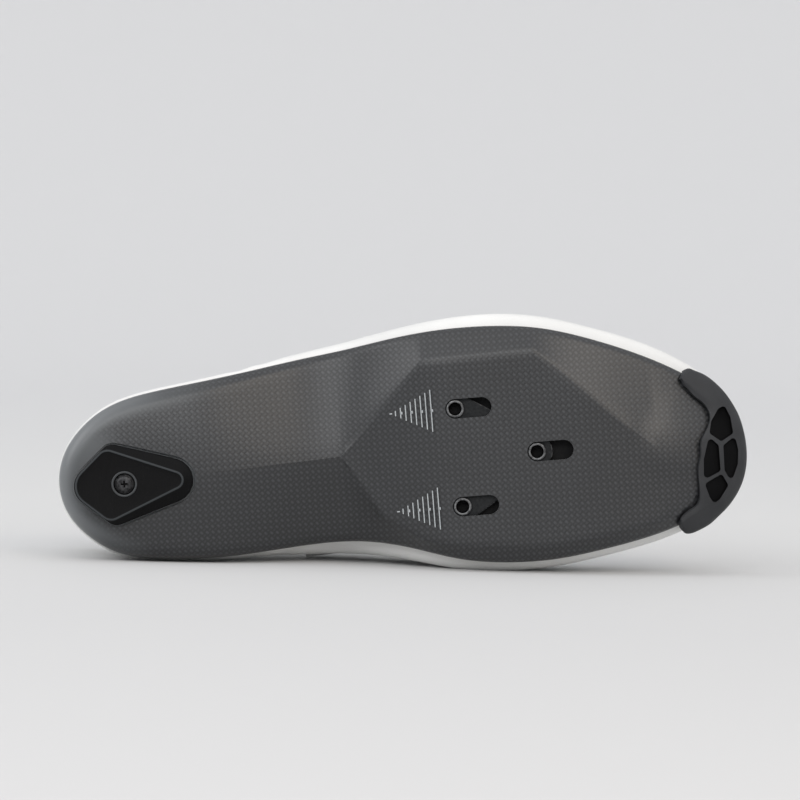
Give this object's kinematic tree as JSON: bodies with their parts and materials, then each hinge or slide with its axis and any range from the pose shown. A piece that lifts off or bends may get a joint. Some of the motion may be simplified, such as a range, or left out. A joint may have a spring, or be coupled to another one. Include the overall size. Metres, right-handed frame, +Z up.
{
  "type": "cycling shoe",
  "caption": "Road cycling shoe with a stiff carbon composite sole, slots for a bolted cleat, heel pad, toe bumper, hollow upper and hook-and-loop straps, lying on its inner side.",
  "frame": {"origin": "bottom centre of the lying shoe's box, on the surface it lies on", "axes": "+X towards the toe, -Y the way the sole faces, +Z up; the shoe lies on its inner side"},
  "size_m": [0.284, 0.0952, 0.105],
  "materials": {
    "carbon_composite": "woven carbon under a satin clear coat",
    "heel_pad_black": "moulded polyurethane with fine ribs",
    "black_steel": "black oxide",
    "bumper_grey": "moulded polyurethane, satin",
    "nut_plate_steel": "blackened plate with bright bushing rims",
    "insole_foam": "fabric covered foam",
    "white_microfibre": "smooth microfibre leather",
    "tongue_white": "padded mesh",
    "strap_white": "coated webbing with hook-and-loop backing"
  },
  "bodies": {
    "shoe": {"outsole": "carbon_composite", "heel_pad": "heel_pad_black", "heel_screw": "black_steel", "toe_bumper": "bumper_grey", "insole": "insole_foam", "upper": "white_microfibre", "tongue": "tongue_white", "toe_strap": "strap_white", "middle_strap": "strap_white", "instep_strap": "strap_white"},
    "cleat_nuts": {"cleat_nut_plate": "nut_plate_steel"}
  },
  "joints": [
    {"name": "cleat_nut_slide", "type": "slide", "parent": "shoe", "child": "cleat_nuts", "axis": [0.9945, 0, 0.1051], "range_m": [0, 0.011]}
  ]
}
